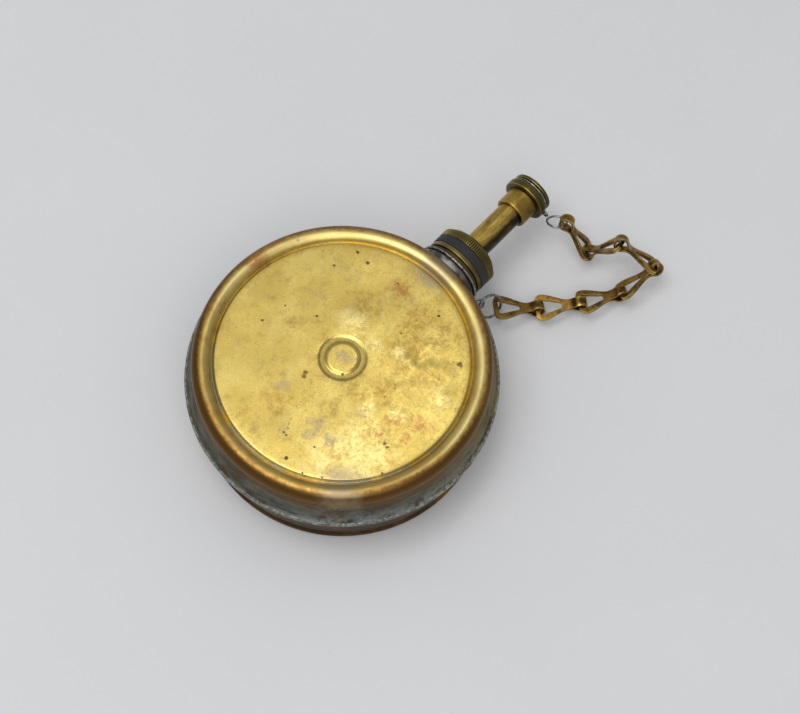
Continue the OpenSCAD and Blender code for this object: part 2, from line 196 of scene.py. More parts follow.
class StudioSettings(bpy.types.PropertyGroup):
    lens: FloatProperty(name="Lens", description="Focal length of the camera", default=67.5, unit="CAMERA")
    azimuth: turn_of("Azimuth", "Direction of the camera round the bottle", -51.9)
    elevation: turn_of("Elevation", "Height of the camera as an angle", 66.73)
    roll: turn_of("Roll", "Turn of the picture", 4.82)
    distance: length("Distance", "From the aim to the camera", 432.69)
    aim_x: length("Aim X", "Point of the floor in the picture's middle", 21.31)
    aim_y: FloatProperty(name="Aim Y", description="Point of the floor in the picture's middle",
                         default=-2.53 * MM, unit="LENGTH", precision=5)
    surround: FloatProperty(name="Surround", description="Strength of the even light", default=0.44, min=0)
    key: FloatProperty(name="Key", description="Power of the large lamp overhead", default=3.7, unit="POWER")
    fill: FloatProperty(name="Fill", description="Power of the lamp beyond the bottle", default=0.25, unit="POWER")
    near: FloatProperty(name="Near", description="Power of the lamp behind the camera", default=2.5, unit="POWER")
    glow: FloatProperty(name="Glow", description="Power of the small lamp that the panel mirrors", default=0.12,
                        unit="POWER")


GROUPS = {
    "oil_shells": ShellSizes,
    "oil_spout": SpoutSizes,
    "oil_cap": CapSizes,
    "oil_chain": ChainSizes,
    "oil_colours": Colours,
    "oil_studio": StudioSettings,
}


def paint(name):
    return tuple(getattr(bpy.context.scene.oil_colours, name))


# Material maths

class Reading:
    """A socket of a material. Python's own signs add its Math nodes."""

    def __init__(self, finish, socket):
        self.finish = finish
        self.socket = socket

    def output(self, name):
        return Reading(self.finish, self.socket.node.outputs[name])

    def __add__(self, other):
        return self.finish.maths("ADD", self, other)

    def __sub__(self, other):
        return self.finish.maths("SUBTRACT", self, other)

    def __rsub__(self, other):
        return self.finish.maths("SUBTRACT", other, self)

    def __mul__(self, other):
        return self.finish.maths("MULTIPLY", self, other)

    def __truediv__(self, other):
        return self.finish.maths("DIVIDE", self, other)

    def __or__(self, other):
        return self.finish.maths("MAXIMUM", self, other)

    def __and__(self, other):
        return self.finish.maths("MINIMUM", self, other)

    __radd__ = __add__
    __rmul__ = __mul__


class Finish:
    """One material of the bottle while it is being mixed. Its distances are millimetres."""

    def __init__(self, name, metallic=1.0):
        self.material = bpy.data.materials.new(name)
        self.material.use_nodes = True
        self.shader = self.material.node_tree.nodes["Principled BSDF"]
        self.shader.inputs["Metallic"].default_value = metallic
        place = self.add("ShaderNodeTexCoord", output="Object")
        self.place = self.add("ShaderNodeVectorMath", {"operation": "SCALE"}, {0: place, "Scale": 1 / MM})
        self.x = self.add("ShaderNodeSeparateXYZ", inputs={0: self.place})
        self.y = self.x.output("Y")
        self.z = self.x.output("Z")

    def add(self, kind, settings=None, inputs=None, output=0):
        """Adds a node from its type, its settings, and the values or links of its sockets."""
        node = self.material.node_tree.nodes.new(kind)
        for name, value in (settings or {}).items():
            setattr(node, name, value)
        for key, value in (inputs or {}).items():
            if isinstance(value, Reading):
                self.material.node_tree.links.new(value.socket, node.inputs[key])
            else:
                node.inputs[key].default_value = value
        return Reading(self, node.outputs[output])

    def maths(self, operation, first, second):
        return self.add("ShaderNodeMath", {"operation": operation}, {0: first, 1: second})

    def rise(self, value, low, high):
        """0 up to low, 1 from high on, and smooth between them. Low may lie above high."""
        return self.add("ShaderNodeMapRange", {"interpolation_type": "SMOOTHSTEP"},
                        {"Value": value, "From Min": low, "From Max": high})

    def noise(self, size, detail=3.0, roughness=0.55, stretch=(1, 1, 1), offset=(0, 0, 0), turn=0.0):
        """Cloudy noise, about 0.5, whose lumps are about size across. A small stretch makes them longer."""
        place = self.place
        if turn:
            place = self.add("ShaderNodeVectorRotate", {"rotation_type": "Z_AXIS"}, {"Vector": place, "Angle": turn})
        place = self.add("ShaderNodeMapping", inputs={"Vector": place, "Location": offset, "Scale": stretch})
        return self.add("ShaderNodeTexNoise",
                        inputs={"Vector": place, "Scale": 1 / size, "Detail": detail, "Roughness": roughness})

    def off_centre(self, centre, ragged=0.0, size=3.0):
        """Distance from a point, or from an axis where a coordinate is None, with a ragged edge."""
        kept = [0 if value is None else 1 for value in centre]
        flat = self.add("ShaderNodeVectorMath", {"operation": "MULTIPLY"}, {0: self.place, 1: kept})
        away = self.add("ShaderNodeVectorMath", {"operation": "DISTANCE"},
                        {0: flat, 1: [value or 0 for value in centre]}, "Value")
        return away + (self.noise(size) - 0.5) * ragged if ragged else away

    def blot(self, centre, radius, soft, ragged=2.0, size=3.0):
        """Mask of a ragged stain: 1 inside the radius and 0 past its soft edge."""
        return self.rise(self.off_centre(centre, ragged, size), radius + soft, radius)

    def mix(self, mask, under, over):
        """Lays one colour over another where the mask is."""
        return self.add("ShaderNodeMix", {"data_type": "RGBA"}, {0: mask, 6: under, 7: over}, 2)

    def painted_underside_shade(self, radius):
        """Mask of painted shade: the side of a round piece on the spout that is turned down, away from the light."""
        return self.rise(self.y * -0.95 + (self.z - SPOUT_AXIS_Z / MM) * -0.3, 0, radius * 0.55)

    def attribute(self, name):
        return self.add("ShaderNodeAttribute", {"attribute_name": name}, output="Fac")

    def finish(self, base, roughness, height=None, depth=0.1, metallic=None):
        """Links the shader's sockets. Height is a relief from 0 to 1 that is depth deep."""
        links = self.material.node_tree.links
        for name, value in (("Base Color", base), ("Roughness", roughness), ("Metallic", metallic)):
            if isinstance(value, Reading):
                links.new(value.socket, self.shader.inputs[name])
            elif value is not None:
                self.shader.inputs[name].default_value = value
        if height is not None:
            relief = self.add("ShaderNodeBump", inputs={"Strength": 1.0, "Distance": depth * MM, "Height": height})
            links.new(relief.socket, self.shader.inputs["Normal"])
        return self.material


# Marks on the front panel: place in millimetres, radius and soft edge
SPECKS = [
    (25.7, 18.6, 0.38), (25.2, 14.4, 0.4), (18.3, 20.5, 0.28), (4.2, 13.4, 0.25), (0.6, 21.8, 0.18),
    (-6.7, 23.2, 0.3), (-30.3, -8.7, 0.42), (16.9, 32.7, 0.3), (4.7, 36.7, 0.3), (26.7, -10.4, 0.3),
    (15.9, -6.5, 0.18), (-30.4, -14.6, 0.2), (-27.8, -19.1, 0.18), (-3.4, -3.2, 0.22), (-25.6, -3.3, 0.2),
    (-25.8, -4.3, 0.2), (-10.2, 34.0, 0.25), (26.3, 4.2, 0.2), (-23.2, -11.9, 0.18), (-16.5, -29.6, 0.25),
]
FLECKS = [(-9.8, 4.3, 0.35, 0.5), (-10.8, 3.7, 0.4, 0.5), (19.9, -23.9, 0.4, 0.6), (-10.1, -24.6, 0.25, 0.5),
          (-10.4, -25.7, 0.2, 0.5)]
BROWN_STAINS = [
    (-0.6, 17.0, 0.9, 2.0), (13.7, 6.6, 1.6, 4.0), (25.4, -0.1, 1.5, 4.5), (17.2, -10.1, 3.6, 6.0),
    (12.0, -20.1, 1.4, 3.5), (8.4, -11.8, 1.4, 3.0), (23.4, -8.3, 2.2, 4.5), (24.0, -16.4, 2.0, 4.0),
    (1.5, -13.5, 1.6, 4.0), (-12.7, -8.2, 0.8, 3.0), (-5.8, -9.4, 0.8, 3.0), (-20.3, 4.3, 1.5, 5.0),
]
COPPER_STAINS = [
    (-4.4, -22.4, 0.7, 2.0), (-9.0, -20.9, 0.6, 1.8), (-0.7, -26.3, 0.8, 2.6), (1.4, -29.8, 0.8, 2.6),
    (-5.3, -27.5, 0.6, 2.2), (25.7, 3.3, 0.7, 2.8),
]
SMOKE_STAINS = [
    (0.4, 0.6, 0.5, 1.8), (-18.3, -7.6, 0.9, 1.9), (-21.4, -8.6, 1.0, 1.8), (-19.2, -13.6, 0.6, 2.0), (-16.0, 6.0, 0.8, 2.2)]
# Pale rubbed spots on the front panel. The two large ones on the lower left are a painted highlight, pale colour where
# the panel mirrors the lamp.
PALE_SPOTS_AND_HIGHLIGHT = [
    (8.9, 5.2, 1.2, 4.5), (-7.0, -15.2, 0.8, 3.0), (-16.1, -22.1, 4.0, 8.0), (11.1, -10.1, 0.6, 2.2),
    (-22.6, -19.5, 4.0, 8.0), (-2.4, -21.8, 0.8, 2.5), (9.0, -26.8, 0.8, 3.0), (9.1, -3.3, 0.6, 3.0),
]
# The direction of the fine scratches on the panel
BRUSHED = radians(-38)


def stains(finish, places, ragged, size):
    """One mask for a list of stains on the front panel."""
    mask = None
    for x, y, radius, soft in places:
        blot = finish.blot((x, y, None), radius, soft, ragged, size)
        mask = blot if mask is None else mask | blot
    return mask


def front_brass():
    finish = Finish("front_brass")
    radius = finish.off_centre((0, 0, None))
    broad = finish.noise(11, 5, 0.62)
    middle = finish.noise(3.4, 6, 0.66, offset=(7, 3, 0))
    fine = finish.noise(1.1, 6, 0.72)
    grain = finish.noise(0.3, 3, 0.6)
    brushed = finish.noise(0.45, 4, 0.65, (0.06, 1, 1), turn=BRUSHED)
    base = finish.mix(finish.rise(broad, 0.38, 0.66), paint("brass"), paint("gold"))
    base = finish.mix(finish.rise(middle, 0.5, 0.72) * 0.5, base, paint("tarnish"))
    base = finish.mix(finish.rise(finish.noise(5.5, 6, 0.7, offset=(30, 0, 0)), 0.53, 0.72) * 0.4, base, paint("smoke"))
    base = finish.mix(finish.rise(brushed, 0.54, 0.74) * 0.18, base, paint("tarnish"))
    mottled = 0.25 + finish.rise(middle + fine, 0.85, 1.15) * 0.75
    base = finish.mix(stains(finish, BROWN_STAINS, 9, 3.4) * mottled * 0.6, base, paint("tarnish"))
    base = finish.mix(stains(finish, COPPER_STAINS, 7, 1.6) * mottled * 0.6, base, paint("copper"))
    base = finish.mix(stains(finish, SMOKE_STAINS, 6, 2.4) * (mottled * 0.45 + 0.3), base, paint("smoke"))
    # Pale rubbed spots, and a painted highlight on the lower left of the panel.
    base = finish.mix(stains(finish, PALE_SPOTS_AND_HIGHLIGHT, 9, 3.0) * (1.1 - mottled) * 0.8, base, paint("pale_brass_and_highlight"))
    patchy = finish.rise(finish.noise(7, 4, 0.6, offset=(0, 50, 0)), 0.42, 0.64)
    base = finish.mix(finish.rise(grain + fine * 0.4, 0.74, 0.92) * (0.07 + patchy * 0.4), base, paint("edge_brown"))
    speckle = finish.rise(finish.noise(0.6, 2, 0.5, offset=(5, 9, 0)), 0.68, 0.76) * patchy
    dots = stains(finish, [(*speck, 0.15) for speck in SPECKS], 0.4, 0.5)
    flecks = stains(finish, FLECKS, 1.4, 0.7)
    base = finish.mix(flecks * 0.85, base, paint("edge_brown"))
    dark = speckle * 0.7 | dots * 0.92
    base = finish.mix(dark, base, paint("pit"))

    # The bead is duller than the panel: rubbed on its crest, and brown and coppery on its shoulder
    bead = finish.rise(radius, 34.2, 35.2)
    # Painted shade on the lower left of the bead: more tarnish and brown, and less pale rubbing and copper there. The
    # same mask puts more grey patina in the crease on that side.
    lower_left_shade_and_patina = finish.rise(finish.x * -0.8 + finish.y * -0.2, -8, 24)
    base = finish.mix(bead * (middle * 0.7 + lower_left_shade_and_patina * 0.4), base, paint("tarnish"))
    ragged = radius + (fine - 0.5) * 2 + lower_left_shade_and_patina
    rubbed = finish.rise(radius + (fine - 0.5) * 1.2, 35.3, 36.4) * finish.rise(ragged, 38.7, 37.6)
    base = finish.mix(rubbed * (broad * 0.9 - lower_left_shade_and_patina * 0.3), base, paint("pale_brass_and_highlight"))
    coppery = finish.rise(radius + (middle - 0.5) * 4 + lower_left_shade_and_patina * 0.6, 37.6, 38.8)
    base = finish.mix(coppery * (0.6 - lower_left_shade_and_patina * 0.3), base, paint("copper"))
    brown = finish.rise(ragged + (broad - 0.5) * 2, 38.3, 39.6)
    base = finish.mix(brown * 0.92, base, paint("edge_brown"))
    greyed = finish.blot((36, -1, None), 2.5, 5.5, 6.0, 2.5) | finish.blot((-26.4, -24.2, None), 2.0, 6.0, 6.0, 2.5)
    base = finish.mix(greyed * 0.75, base, paint("smoke"))
    orange = finish.blot((4.8, 36.2, None), 0.8, 3.2, 5.0, 1.5)
    base = finish.mix(orange * 0.7, base, paint("copper"))

    # Dirt lies in the crease, most on the lower left, and in the groove round the button
    crease = finish.rise(finish.maths("ABSOLUTE", radius - 34.6, 0), 0.9, 0.2)
    dirty = finish.rise(middle + (broad - 0.5) * 1.4, 0.34, 0.56)
    base = finish.mix(crease * dirty * (0.1 + lower_left_shade_and_patina * 0.75), base, paint("crevice"))
    groove = finish.rise(finish.maths("ABSOLUTE", radius - 5.4, 0), 1.1, 0.4)
    base = finish.mix(groove * (0.45 + middle * 0.4), base, paint("groove"))

    # The wall below the bead keeps its grey patina, with pale blue residue above the seam
    wall = finish.rise(radius + (fine - 0.5) * 1.4 + (broad - 0.5) * 1.2, 39.9, 40.5) * finish.rise(finish.z, 30.5, 28.5)
    bands = finish.noise(2.2, 6, 0.68, (0.35, 0.35, 1.1))
    patina = finish.mix(finish.rise(bands, 0.36, 0.62), paint("wall_dark"), paint("patina"))
    patina = finish.mix(finish.rise(finish.noise(6, 5, 0.65, offset=(0, 0, 15)), 0.5, 0.66) * 0.65, patina,
                        paint("edge_brown"))
    toward_camera = finish.rise(finish.x * -0.45 + finish.y * -0.9, 24, 42)
    toward_right = finish.rise(finish.x * 0.7 + finish.y * -0.7, 14, 40)
    patina = finish.mix(toward_right * finish.rise(fine + bands, 0.78, 1.05) * 0.8, patina, paint("bush"))
    residue = finish.rise(finish.z + (bands - 0.5) * 9, 24.6, 21.2) * (0.08 + toward_camera * 0.6)
    patina = finish.mix(residue * finish.rise(fine + bands, 0.8, 1.12), patina, paint("residue"))
    base = finish.mix(wall * 0.95, base, patina)

    roughness = 0.18 + fine * 0.16 + wall * 0.38 + dark * 0.25 + bead * 0.1
    relief = fine * (0.04 + wall * 0.5) + middle * 0.3 - dark * 0.8
    return finish.finish(base, roughness, relief, 0.06, 1 - (wall * 0.5 | dark * 0.5))


def back_brass():
    finish = Finish("back_brass")
    broad = finish.noise(12, 5, 0.6)
    fine = finish.noise(1.4, 6, 0.7)
    # The base is brass darkened as painted shade, with lighter tarnish patches.
    base = finish.mix(finish.rise(broad, 0.44, 0.7) * 0.55, paint("back_brass"), paint("tarnish"))
    base = finish.mix(finish.rise(finish.noise(5, 6, 0.7, offset=(0, 20, 0)), 0.5, 0.7) * 0.6, base, paint("edge_brown"))
    rubbed = finish.rise(finish.z + (fine - 0.5) * 0.5, 0.7, 0.1)
    base = finish.mix(rubbed * 0.7, base, paint("brass"))
    base = finish.mix(finish.rise(finish.noise(0.6, 2), 0.68, 0.76) * 0.8, base, paint("pit"))
    # Painted shade: the back is darkened in the band just under the seam's flange, and made less metallic there.
    shade_under_seam = finish.rise(finish.z + (fine - 0.5) * 3, 16.5, 19)
    base = finish.mix(shade_under_seam * 0.7, base, paint("dirt_and_shade"))
    roughness = 0.42 + fine * 0.25 - rubbed * 0.12
    return finish.finish(base, roughness, fine * 0.4 + finish.noise(6), 0.06, 1 - shade_under_seam * 0.5)


def seam_solder():
    finish = Finish("seam_solder")
    lumps = finish.noise(1.1, 4, 0.6)
    base = finish.mix(finish.rise(lumps, 0.4, 0.62), paint("patina"), paint("solder"))
    base = finish.mix(finish.rise(finish.noise(4, 4, offset=(9, 0, 0)), 0.5, 0.68) * 0.6, base, paint("edge_brown"))
    base = finish.mix(finish.rise(finish.noise(2.2, 3, offset=(0, 0, 40)), 0.56, 0.68) * 0.8, base, paint("residue"))
    return finish.finish(base, 0.35 + lumps * 0.3, lumps, 0.12, 0.8)


def worn_plate():
    finish = Finish("worn_plate")
    fine = finish.noise(1.2, 6, 0.7)
    broad = finish.noise(5, 4, 0.6)
    base = finish.mix(finish.rise(broad, 0.42, 0.66), paint("plate"), paint("solder"))
    base = finish.mix(finish.rise(finish.noise(2.5, 5, offset=(0, 7, 0)), 0.5, 0.66) * 0.7, base, paint("edge_brown"))
    base = finish.mix(finish.rise(finish.attribute("edge"), 0.25, 0.8) * 0.5, base, paint("tube"))
    base = finish.mix(finish.rise(fine, 0.56, 0.72) * 0.6, base, paint("dirt_and_shade"))
    # Painted shade: the ferrule's side turned down is darkened.
    base = finish.mix(finish.painted_underside_shade(reach("neck_ferrule", "Y") / MM) * 0.85, base, paint("dirt_and_shade"))
    return finish.finish(base, 0.3 + fine * 0.3, fine + broad, 0.06)


def turned_brass(name, metal, dirt_and_shade, rings, radius, olive_from, dark_to):
    """Brass turned on a lathe: faint rings along X, rubbed edges and darker corners.

    Its side turned down gets painted shade, for a piece of the radius given. It is dark up to one place, and olive from
    another."""
    finish = Finish(name)
    fine = finish.noise(0.9, 6, 0.7)
    broad = finish.noise(4.5, 5, 0.6)
    lathe = finish.noise(0.22, 2, 0.5, stretch=(1, 0.02, 0.02))
    base = finish.mix(finish.rise(broad, 0.42, 0.72) * 0.55, paint(metal), paint("edge_brown"))
    outer = finish.rise(finish.x, olive_from / MM - 0.4, olive_from / MM)
    base = finish.mix(outer * 0.92, base, paint("olive"))
    rubbed = finish.rise(finish.attribute("edge") + (fine - 0.5) * 0.3, 0.35, 0.95)
    base = finish.mix(rubbed * 0.5, base, paint("brass"))
    # Darker in the hollows and in random specks, darker as painted shade on the side turned down, and dark up to one
    # place along X.
    soiled_and_shaded = finish.rise(finish.attribute("hollow") + (broad - 0.5) * 0.4, 0.12, 0.6) | finish.rise(fine, 0.65, 0.78) * 0.45
    soiled_and_shaded = soiled_and_shaded | finish.painted_underside_shade(radius) * 0.5 | finish.rise(finish.x, dark_to / MM + 0.3, dark_to / MM) * 0.7
    base = finish.mix(soiled_and_shaded * dirt_and_shade, base, paint("dirt_and_shade"))
    roughness = 0.26 + fine * 0.2 + soiled_and_shaded * 0.25 - rubbed * 0.05
    return finish.finish(base, roughness, lathe * rings + fine * 0.5, 0.03)


def drawn_brass():
    """Brass tube, drawn along X, with long streaks and brown patches."""
    finish = Finish("drawn_brass")
    streak = finish.noise(0.8, 5, 0.65, stretch=(0.18, 1, 1))
    broad = finish.noise(3.5, 5, 0.65, stretch=(0.5, 1, 1))
    fine = finish.noise(0.7, 5, 0.7)
    base = finish.mix(finish.rise(streak, 0.4, 0.62), paint("tube"), paint("brass"))
    base = finish.mix(finish.rise(broad, 0.5, 0.7) * 0.5, base, paint("edge_brown"))
    base = finish.mix(finish.rise(finish.noise(2, 3, offset=(0, 0, 30)), 0.6, 0.7) * 0.35, base, paint("copper"))
    # Painted shade: the tube's side turned down is darkened.
    base = finish.mix(finish.painted_underside_shade(reach("spout_tube", "Y") / MM) * (0.7 + broad * 0.5), base, paint("dirt_and_shade"))
    return finish.finish(base, 0.24 + fine * 0.22, streak * 0.6 + fine * 0.4, 0.03)


def old_leather(name, dye):
    finish = Finish(name, 0.0)
    grain = finish.add("ShaderNodeTexVoronoi", {"feature": "DISTANCE_TO_EDGE"},
                       {"Vector": finish.place, "Scale": 2.2}, "Distance")
    broad = finish.noise(2.5, 5, 0.65)
    base = finish.mix(finish.rise(broad, 0.4, 0.7), paint(dye), paint("dirt_and_shade"))
    base = finish.mix(finish.rise(finish.noise(1, 4, offset=(3, 3, 3)), 0.66, 0.78) * 0.25, base, paint("patina"))
    # Painted shade: the washer's side turned down is darkened.
    base = finish.mix(finish.painted_underside_shade(reach("washer", "Y") / MM) * 0.85, base, paint("dirt_and_shade"))
    return finish.finish(base, 0.42 + broad * 0.25, finish.rise(grain, 0, 0.25) * 0.6 + broad, 0.09)


def steel_wire():
    finish = Finish("steel_wire")
    fine = finish.noise(0.6, 5, 0.65)
    base = finish.mix(finish.rise(fine, 0.42, 0.68), paint("wire"), paint("dirt_and_shade"))
    base = finish.mix(finish.rise(finish.noise(1.8, 3, offset=(4, 0, 0)), 0.58, 0.7) * 0.5, base, paint("edge_brown"))
    return finish.finish(base, 0.24 + fine * 0.22, fine, 0.02)


def chain_brass():
    finish = Finish("chain_brass")
    fine = finish.noise(0.7, 6, 0.7)
    broad = finish.noise(3, 5, 0.65)
    base = finish.mix(finish.rise(broad, 0.4, 0.68), paint("chain"), paint("chain_dark"))
    rubbed = finish.rise(finish.attribute("edge") + (fine - 0.5) * 0.5, 0.35, 0.9)
    base = finish.mix(rubbed * 0.75, base, paint("gold"))
    base = finish.mix(finish.rise(finish.noise(1.6, 4, offset=(0, 8, 0)), 0.6, 0.72) * 0.35, base, paint("copper"))
    base = finish.mix(finish.rise(fine, 0.62, 0.74) * 0.7, base, paint("dirt_and_shade"))
    return finish.finish(base, 0.24 + fine * 0.24, fine, 0.04)


MATERIALS = {
    "yellow_brass": front_brass,
    "brown_brass": back_brass,
    "solder": seam_solder,
    "plate": worn_plate,
    "turned_brass": lambda: turned_brass("lathe_brass", "bush", 0.95, 0.5, 9.4, reach("washer", "X"),
                                         start("washer", "X") - 1.7 * MM),
    "old_leather": lambda: old_leather("blue_black_leather", "leather"),
    "tube_brass": drawn_brass,
    "olive_brass": lambda: turned_brass("cap_brass", "cap", 0.85, 0.4, 5.4, reach("cap", "X") - 4.6 * MM,
                                        start("cap", "X") - 1 * MM),
    "tan_leather": lambda: old_leather("seal_leather", "seal"),
    "steel_wire": steel_wire,
    "chain_brass": chain_brass,
}
made = {}


def dress(piece, slot):
    """Gives a piece the material of the record's slot, made when it is first needed."""
    if slot not in made:
        made[slot] = MATERIALS[slot]()
    if piece.material_slots:
        for holder in piece.material_slots:
            holder.material = made[slot]
    else:
        piece.data.materials.append(made[slot])


def fit(piece, name, node, slot, body):
    """Names and dresses a finished piece, and puts it on its body in place of a CAD node."""
    piece.name = name
    dress(piece, slot)
    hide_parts(node)
    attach(piece, body)


# Modelling helpers

def deselect():
    if bpy.context.object and bpy.context.object.mode != "OBJECT":
        bpy.ops.object.mode_set(mode="OBJECT")
    bpy.ops.object.select_all(action="DESELECT")


def select(piece):
    deselect()
    piece.select_set(True)
    bpy.context.view_layer.objects.active = piece


def pick(piece, wanted):
    """In edit mode, selects just the vertices that wanted says yes to, with their edges and faces."""
    mesh = bmesh.from_edit_mesh(piece.data)
    for vertex in mesh.verts:
        vertex.select = bool(wanted(vertex))
    mesh.select_mode = {"VERT"}
    mesh.select_flush_mode()
    bmesh.update_edit_mesh(piece.data)


def apply(piece, kind, **settings):
    """Adds a modifier and applies it."""
    select(piece)
    modifier = piece.modifiers.new(kind.title(), kind)
    for name, value in settings.items():
        setattr(modifier, name, value)
    bpy.ops.object.modifier_apply(modifier=modifier.name)


def settle(piece, smooth=35):
    """Puts the piece's place into its mesh, and shades it smooth up to the angle."""
    select(piece)
    bpy.ops.object.transform_apply(location=True, rotation=True, scale=True)
    bpy.ops.object.shade_smooth_by_angle(angle=radians(smooth))


def leg(longest, other):
    """Third side of a triangle with a right angle."""
    return max(0, longest ** 2 - other ** 2) ** 0.5


def arc(centre, radius, first, last, steps=12):
    """Points of an arc, from one angle in degrees to another."""
    turns = [radians(first + (last - first) * i / steps) for i in range(steps + 1)]
    return [(centre[0] + radius * cos(a), centre[1] + radius * sin(a)) for a in turns]


def eased(points, radius, steps=3, closed=True):
    """The same outline with its corners rounded, each by no more than 0.45 of its shorter side."""
    round_points = []
    for i, point in enumerate(points):
        here = Vector(point)
        if not closed and i in (0, len(points) - 1):
            round_points.append(tuple(here))
            continue
        back = Vector(points[i - 1]) - here
        ahead = Vector(points[(i + 1) % len(points)]) - here
        if back.length < MERGE or ahead.length < MERGE or back.angle(ahead) > radians(160):
            round_points.append(tuple(here))
            continue
        cut = min(radius, 0.45 * back.length, 0.45 * ahead.length)
        before = here + back.normalized() * cut
        after = here + ahead.normalized() * cut
        for j in range(steps + 1):
            t = j / steps
            round_points.append(tuple((1 - t) ** 2 * before + 2 * t * (1 - t) * here + t * t * after))
    return round_points


def stepped(points, longest, closed=False):
    """The same outline with points added along its long runs."""
    full = [points[0]]
    for here, there in zip(points, points[1:] + (points[:1] if closed else [])):
        parts = max(1, round(hypot(there[0] - here[0], there[1] - here[1]) / longest))
        for i in range(1, parts + 1):
            full.append((here[0] + (there[0] - here[0]) * i / parts, here[1] + (there[1] - here[1]) * i / parts))
    return full[:-1] if closed else full


def inside(path, thickness):
    """The path moved to its right by the sheet's thickness, with mitred corners."""
    moved = []
    for i, point in enumerate(path):
        here = Vector(point)
        ahead = (Vector(path[i + 1]) - here).normalized() if i < len(path) - 1 else None
        behind = (here - Vector(path[i - 1])).normalized() if i else ahead
        ahead = ahead or behind
        right = Vector((ahead.y, -ahead.x)) + Vector((behind.y, -behind.x))
        right.normalize()
        moved.append(tuple(here + right * thickness / right.dot(Vector((behind.y, -behind.x)))))
    return moved


def spin(name, outline, steps, along_spout=False, sweep=tau):
    """Draws an outline of radius and height by extruding a point, and spins it into a solid.

    The outline is closed. It goes round Z, or round the spout's axis, where its height is X."""
    def put(radius, height):
        if along_spout:
            return Vector((height, 0, SPOUT_AXIS_Z + radius))
        return Vector((radius, 0, height))

    points = [put(*point) for point in outline]
    on_axis = outline[0][0] < MERGE and outline[-1][0] < MERGE
    if not on_axis:
        points.append(points[0])
    deselect()
    bpy.ops.mesh.primitive_plane_add(size=MM)
    piece = bpy.context.object
    piece.name = name
    bpy.ops.object.mode_set(mode="EDIT")
    bpy.ops.mesh.select_mode(type="VERT")
    bpy.ops.mesh.merge(type="CENTER")
    bpy.ops.transform.translate(value=points[0])
    for here, there in zip(points, points[1:]):
        bpy.ops.mesh.extrude_region_move(TRANSFORM_OT_translate={"value": there - here})
    bpy.ops.mesh.select_all(action="SELECT")
    if sweep < tau:
        bpy.ops.mesh.remove_doubles(threshold=MERGE)
        bpy.ops.mesh.edge_face_add()
    axis = (1, 0, 0) if along_spout else (0, 0, 1)
    centre = (0, 0, SPOUT_AXIS_Z) if along_spout else (0, 0, 0)
    if sweep < tau:
        bpy.ops.transform.rotate(value=(tau - sweep) / 2, orient_axis="Z", center_override=centre)
    bpy.ops.mesh.spin(steps=steps, angle=sweep, center=centre, axis=axis)
    bpy.ops.mesh.select_all(action="SELECT")
    bpy.ops.mesh.remove_doubles(threshold=MERGE)
    bpy.ops.mesh.normals_make_consistent(inside=False)
    bpy.ops.object.mode_set(mode="OBJECT")
    return piece


def push(piece, centre, size, move):
    """Pulls the surface by hand: proportional editing round the vertex nearest the centre."""
    select(piece)
    centre = Vector(centre)
    nearest = min(piece.data.vertices, key=lambda vertex: (vertex.co - centre).length).index
    bpy.ops.object.mode_set(mode="EDIT")
    pick(piece, lambda vertex: vertex.index == nearest)
    bpy.ops.transform.translate(value=move, use_proportional_edit=True, proportional_edit_falloff="SMOOTH",
                                proportional_size=size)
    bpy.ops.object.mode_set(mode="OBJECT")


def roughen(piece, size, depth, lie=1.0):
    """Moves the surface along its normals by cloudy noise. The noise's level given by lie stays in place."""
    clouds = bpy.data.textures.new("hammering", "CLOUDS")
    clouds.noise_scale = size
    clouds.noise_depth = 2
    apply(piece, "DISPLACE", texture=clouds, strength=depth, mid_level=lie, texture_coords="LOCAL")
    bpy.data.textures.remove(clouds)


def carve(piece, radius, first, last):
    """Cuts the round hole for the neck through the walls, from one X to another."""
    deselect()
    bpy.ops.mesh.primitive_cylinder_add(vertices=96, radius=radius, depth=last - first,
                                        location=((first + last) / 2, 0, SPOUT_AXIS_Z), rotation=(0, pi / 2, 0))
    cutter = bpy.context.object
    bpy.ops.object.transform_apply(location=True, rotation=True, scale=True)
    apply(piece, "BOOLEAN", operation="DIFFERENCE", object=cutter, solver="EXACT")
    bpy.data.objects.remove(cutter)


def mark_edges(piece):
    """Stores where the surface stands out or folds in, for rubbed edges and darker corners."""
    mesh = piece.data
    pulls = [Vector() for _ in mesh.vertices]
    counts = [0] * len(mesh.vertices)
    for edge in mesh.edges:
        first, second = edge.vertices
        away = (mesh.vertices[second].co - mesh.vertices[first].co).normalized()
        pulls[first] += away
        pulls[second] -= away
        counts[first] += 1
        counts[second] += 1
    stands = [-pull.dot(vertex.normal) / max(1, number)
              for pull, vertex, number in zip(pulls, mesh.vertices, counts)]
    for name, sign in (("edge", 7), ("hollow", -7)):
        layer = mesh.attributes.new(name, "FLOAT", "POINT")
        layer.data.foreach_set("value", [min(1, max(0, sign * value)) for value in stands])


# Shapes of the pieces

CREASE_ANGLE = 155
WALL_ANGLE = 35


